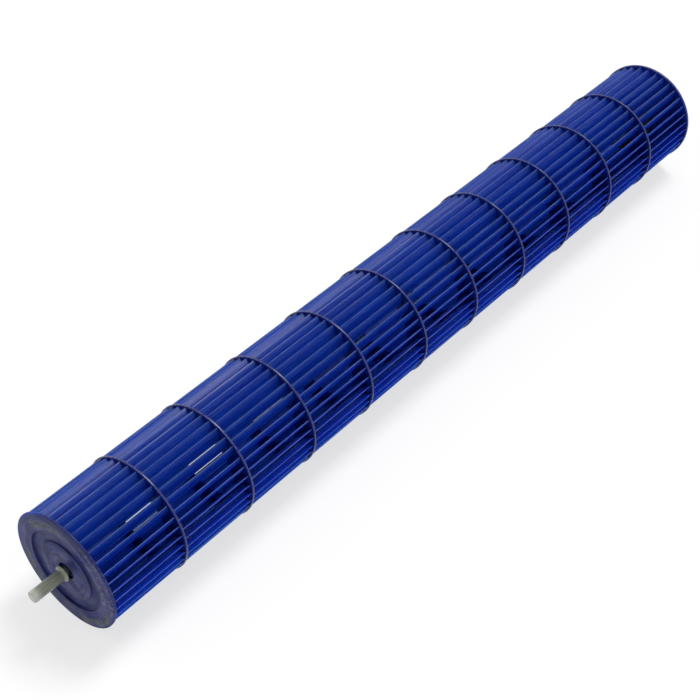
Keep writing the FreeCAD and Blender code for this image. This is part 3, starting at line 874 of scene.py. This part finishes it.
# %% Metals
def metal(name, tones, polish, line_size, line_length, strength):
    """A metal with lines round the axis: tones (dark, light) and polish (smoothest, dullest)."""
    material = bpy.data.materials.new(name)
    tree = empty_tree(material)
    place = add_node(tree, "ShaderNodeTexCoord").outputs["Object"]
    distance, _ = about_axis(tree, place)
    out = add_node(tree, "ShaderNodeCombineXYZ", {"Y": distance}).outputs[0]
    wound = add_node(tree, "ShaderNodeVectorMath", {0: place, 1: out}).outputs[0]
    lines, = patterns(tree, wound, (((line_length, line_size, line_length), 3, 0.3, 0.7),))
    clouds, = patterns(tree, place, (((6.25, 6.25, 6.25), 3, 0.35, 0.75),))
    dark, light = tones
    smoothest, dullest = polish
    relief = add_node(tree, "ShaderNodeBump", {
        "Height": lines, "Strength": strength, "Distance": 0.1 * MM})
    dullness = add_node(tree, "ShaderNodeMapRange", {
        "Value": lines, "To Min": dullest, "To Max": smoothest})
    shader = add_node(tree, "ShaderNodeBsdfPrincipled", {
        "Base Color": stained(tree, linear(dark), ((light, 1, lines), (dark, 0.35, clouds))),
        "Roughness": dullness.outputs[0],
        "Metallic": 1,
        "Normal": relief.outputs[0],
    })
    surface(tree, shader)
    return material


steel = metal("steel_ground", ("#7c7c75", "#a8a8a0"), (0.25, 0.4), 0.25, 16.7, 0.05)
aluminium = metal("aluminium_turned", ("#85888e", "#c4c6ca"), (0.28, 0.5), 0.455, 25, 0.2)
black_steel = metal("steel_blackened", ("#1d1d20", "#4c4c50"), (0.35, 0.6), 1.11, 1.11, 0.15)

# %% [markdown]
# ## Black rubber
# Moulded rubber is a dull, dark grey black. A pale bloom of wax comes to its skin in clouds of 5 mm
# or so, and the mould's spark-eroded wall gave it a fine pebble, drawn a little coarser to show.

# %% Black rubber
def black_rubber():
    material = bpy.data.materials.new("black_rubber_moulded")
    tree = empty_tree(material)
    place = add_node(tree, "ShaderNodeTexCoord").outputs["Object"]
    bloom, pebble = patterns(tree, place, (
        ((5.56, 5.56, 5.56), 6, 0.35, 0.7),
        ((0.667, 0.667, 0.667), 2, 0, 1),
    ))
    relief = add_node(tree, "ShaderNodeBump", {
        "Height": pebble, "Strength": 0.25, "Distance": 0.3 * MM})
    dullness = add_node(tree, "ShaderNodeMapRange", {"Value": bloom, "To Min": 0.5, "To Max": 0.75})
    shader = add_node(tree, "ShaderNodeBsdfPrincipled", {
        "Base Color": stained(tree, linear("#0e0e10"), (("#343438", 1, bloom),)),
        "Roughness": dullness.outputs[0],
        "IOR": 1.5,
        "Normal": relief.outputs[0],
    })
    surface(tree, shader)
    return material


rubber_finish = black_rubber()

# %% [markdown]
# ## Dressing the pieces
# Each new piece rides on its body and stands for its CAD node. The mouldings already have their two
# blues. The pin, the hub's core and the screw are right as the CAD model has them, so they stay and
# only get their metal.

# %% Dress the pieces
def dress(piece, finish):
    piece.data.materials.clear()
    piece.data.materials.append(finish)


def stand_for(piece, node, body):
    """The piece rides on the body and takes the node's place."""
    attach(piece, body)
    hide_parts(node)


for number, row in enumerate(rows, start=1):
    stand_for(row, f"blade_section_{number:02d}", "wheel")
stand_for(motor_row, "motor_end_section", "wheel")
for piece, finish, node, body, slot in (
    (end_plate, smoky, "bearing_end_plate", "wheel", "smoky_plastic"),
    (cap, vinyl, "shaft_cap", "cap", "clear_vinyl"),
    (rubber, rubber_finish, "rubber_boss", "wheel", "black_rubber"),
):
    dress(piece, finish)
    stand_for(piece, node, body)
dress(nodes["stub_shaft"], steel)
dress(nodes["hub_core"], aluminium)
dress(nodes["set_screw"], black_steel)
print(f"{len(rows) + 4} new pieces, 3 CAD nodes dressed")

# %% [markdown]
# ## Floor and background
# The photograph is a packshot on white, lit from overhead. The floor is white paper: part of what
# is seen of it is the paper's own, shaded white, and part is plain white, so that the background is
# white and the wheel's soft shadow stays. Rays that were mirrored or came through something clear
# see it the same way.

# %% Floor
FLOOR = cad_box[0].z
FLOOR_SIZE = 12
GLOW_SHARE = 0.68


def seen_ray(tree):
    """1 for what the camera sees, also in a reflection or through something clear, else 0."""
    ray = add_node(tree, "ShaderNodeLightPath")
    either = add_node(tree, "ShaderNodeMath", {
        0: ray.outputs["Is Camera Ray"], 1: ray.outputs["Is Glossy Ray"]}, operation="MAXIMUM")
    seen = add_node(tree, "ShaderNodeMath", {
        0: either.outputs[0], 1: ray.outputs["Is Transmission Ray"]}, operation="MAXIMUM")
    return seen.outputs[0]


bpy.ops.object.select_all(action="DESELECT")
bpy.ops.mesh.primitive_plane_add(size=FLOOR_SIZE, location=(0, 0, FLOOR))
floor = bpy.context.object
floor.name = "floor"
white_paper = bpy.data.materials.new("white_paper_matt")
tree = empty_tree(white_paper)
paper = add_node(tree, "ShaderNodeBsdfDiffuse", {"Color": linear("#ffffff")})
glow = add_node(tree, "ShaderNodeEmission", {"Color": (1, 1, 1, 1), "Strength": 1})
glow_share = add_node(tree, "ShaderNodeMapRange", {
    "Value": seen_ray(tree), "To Min": 0, "To Max": GLOW_SHARE})
surface(tree, add_node(tree, "ShaderNodeMixShader", {
    "Fac": glow_share.outputs[0], 1: paper.outputs[0], 2: glow.outputs[0]}))
dress(floor, white_paper)

# %% [markdown]
# ## Light
# One wide, far light shines from above and from the motor end's side, so that the end plate is in
# the shade, as in the photograph. Its spread of 22 degrees softens the shadow's edge. White
# surroundings fill the rest: dimmer for the wheel than for the camera, which sees them plain white.

# %% Light and surroundings
LIGHT_PLACE = Vector((0, 0.42, 0.8))
LIGHT_SPREAD = 22
LIGHT_STRENGTH = 1.93
FILL = 0.53

bpy.ops.object.light_add(type="SUN", location=LIGHT_PLACE)
light = bpy.context.object
light.name = "overhead_softbox"
light.data.angle = math.radians(LIGHT_SPREAD)
light.data.energy = LIGHT_STRENGTH
light.rotation_euler = (-LIGHT_PLACE).to_track_quat("-Z", "Y").to_euler()

world = bpy.data.worlds.new("white_surroundings")
bpy.context.scene.world = world
world.use_nodes = True
sky = world.node_tree
sky.nodes.clear()
strength = add_node(sky, "ShaderNodeMapRange", {
    "Value": seen_ray(sky), "To Min": FILL, "To Max": 1})
white = add_node(sky, "ShaderNodeBackground", {
    "Color": (1, 1, 1, 1), "Strength": strength.outputs[0]})
add_node(sky, "ShaderNodeOutputWorld", {"Surface": white.outputs[0]})
bpy.context.scene.view_settings.view_transform = "Standard"
print(f"sun {LIGHT_STRENGTH}, surroundings {FILL}")
